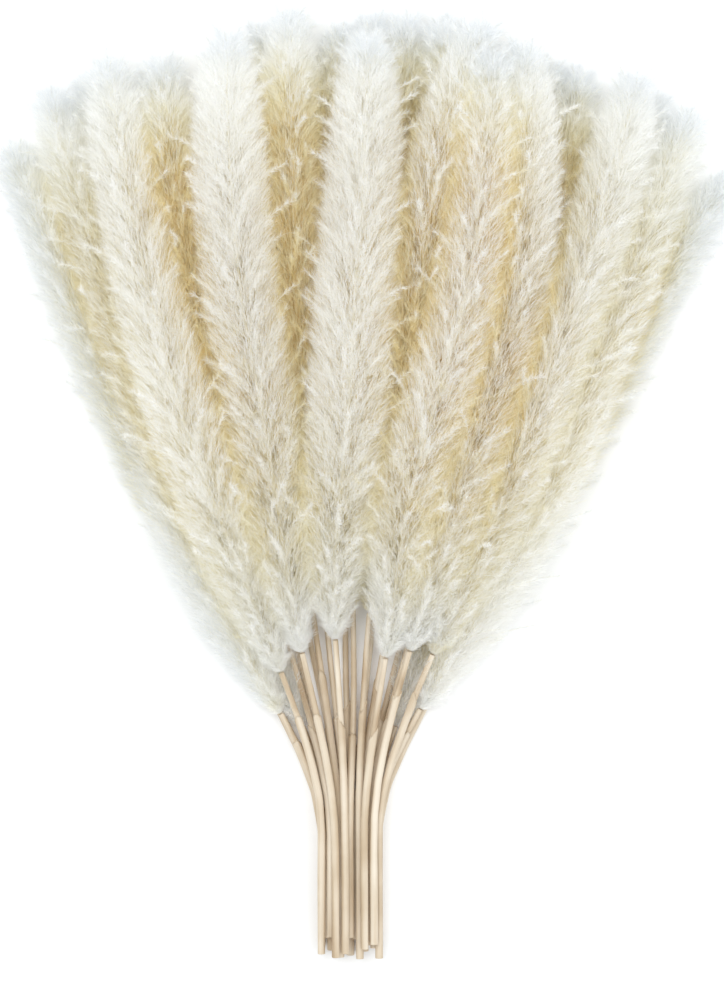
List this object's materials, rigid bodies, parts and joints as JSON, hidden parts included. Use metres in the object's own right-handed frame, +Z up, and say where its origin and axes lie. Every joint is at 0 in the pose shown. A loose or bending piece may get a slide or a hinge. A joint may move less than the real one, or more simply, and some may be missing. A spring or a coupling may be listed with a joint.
{
  "type": "bundle of dried pampas grass",
  "caption": "Loose bundle of cut, dried pampas grass lying flat: thin reed stems gathered at a waist, fanning out into long soft feathery ivory plumes heaped in a low mound.",
  "frame": {"origin": "on the table, under the middle of the bundle's box", "axes": "+Y along the stalks from the cut ends towards the tips of the plumes, +Z up from the table, +X across the fan"},
  "size_m": [0.3074, 0.409, 0.0574],
  "materials": {
    "straw": "satin, dry and straw-like",
    "fluff": "matte, soft and feathery"
  },
  "bodies": {
    "root": {"stem_01": "straw", "stem_02": "straw", "stem_03": "straw", "stem_04": "straw", "stem_05": "straw", "stem_06": "straw", "stem_07": "straw", "stem_08": "straw", "stem_09": "straw", "stem_10": "straw", "stem_11": "straw", "stem_12": "straw", "stem_13": "straw", "stem_14": "straw", "stem_15": "straw", "stem_16": "straw", "stem_17": "straw", "stem_18": "straw", "stem_19": "straw", "stem_20": "straw", "stem_21": "straw", "stem_22": "straw", "stem_23": "straw", "stem_24": "straw", "plume_01": "fluff", "plume_02": "fluff", "plume_03": "fluff", "plume_04": "fluff", "plume_05": "fluff", "plume_06": "fluff", "plume_07": "fluff", "plume_08": "fluff", "plume_09": "fluff", "plume_10": "fluff", "plume_11": "fluff", "plume_12": "fluff", "plume_13": "fluff", "plume_14": "fluff", "plume_15": "fluff", "plume_16": "fluff", "plume_17": "fluff", "plume_18": "fluff", "plume_19": "fluff", "plume_20": "fluff", "plume_21": "fluff", "plume_22": "fluff", "plume_23": "fluff", "plume_24": "fluff"}
  },
  "joints": []
}
